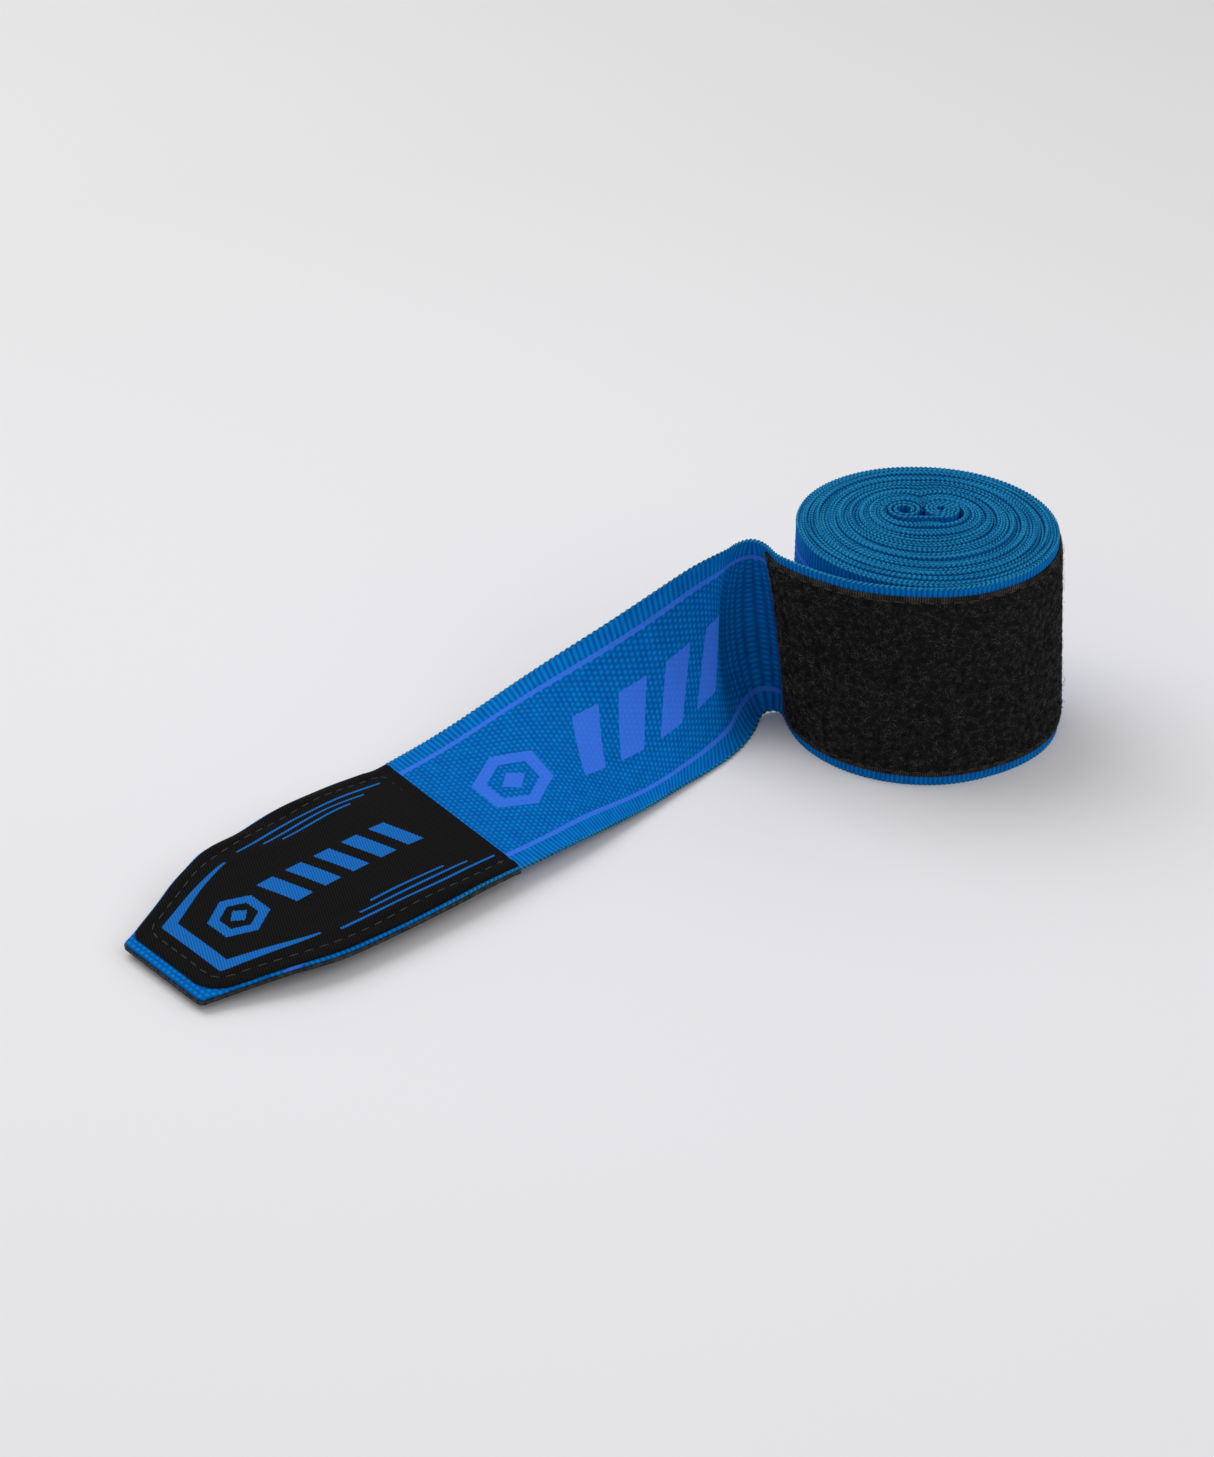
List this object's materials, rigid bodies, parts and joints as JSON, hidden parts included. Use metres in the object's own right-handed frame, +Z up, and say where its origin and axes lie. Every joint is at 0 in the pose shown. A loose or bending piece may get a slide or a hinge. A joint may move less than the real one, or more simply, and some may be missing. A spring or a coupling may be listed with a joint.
{
  "type": "hand wrap",
  "caption": "Rolled woven hand wrap standing on edge, its free end twisted down flat to a tapered hook-and-loop closure tab.",
  "frame": {"origin": "on the table, under the middle of the whole object's box", "axes": "+X from the closure tab towards the roll, +Z up along the roll's axis, +Y across the free end, away from the side where the last turn leaves the roll"},
  "size_m": [0.2166, 0.0942, 0.05],
  "materials": {
    "band_cloth": "coarse woven cotton and elastane band, dull, blue",
    "thumb_tape": "narrow woven tape, blue",
    "loop_pile": "fuzzy black loop pile on a knitted backing",
    "label_cloth": "black satin-weave label with blue woven pattern",
    "hook_tape": "black hook tape",
    "thread": "black polyester sewing thread"
  },
  "bodies": {
    "roll": {"band_roll": "band_cloth", "band_start_fold": "band_cloth", "thumb_loop": "thumb_tape", "thumb_loop_bartack": "thread", "loop_tape_rear": "loop_pile", "loop_tape_rear_seam": "thread"},
    "last_turn": {"band_last_turn": "band_cloth", "loop_tape_front": "loop_pile", "loop_tape_front_seam": "thread", "band_crease": "band_cloth"},
    "tail": {"band_tail": "band_cloth"},
    "closure_tab": {"band_tip": "band_cloth", "closure_label": "label_cloth", "label_seam": "thread", "hook_tape": "hook_tape"}
  },
  "joints": [
    {"name": "last_turn_peel", "type": "hinge", "parent": "roll", "child": "last_turn", "pos_m": [0.05966, -0.04033, 0], "axis": [0, 0, 1], "range_deg": [0, 50]},
    {"name": "tail_swing", "type": "hinge", "parent": "last_turn", "child": "tail", "pos_m": [0.04902, 0.00356, 0], "axis": [0, 0, 1], "range_deg": [-60, 45], "deforming": ["band_crease"]},
    {"name": "tab_lift", "type": "hinge", "parent": "tail", "child": "closure_tab", "pos_m": [-0.03054, 0.02166, 0.0054], "axis": [0.0976, 0.9952, 0], "range_deg": [0, 120]}
  ]
}
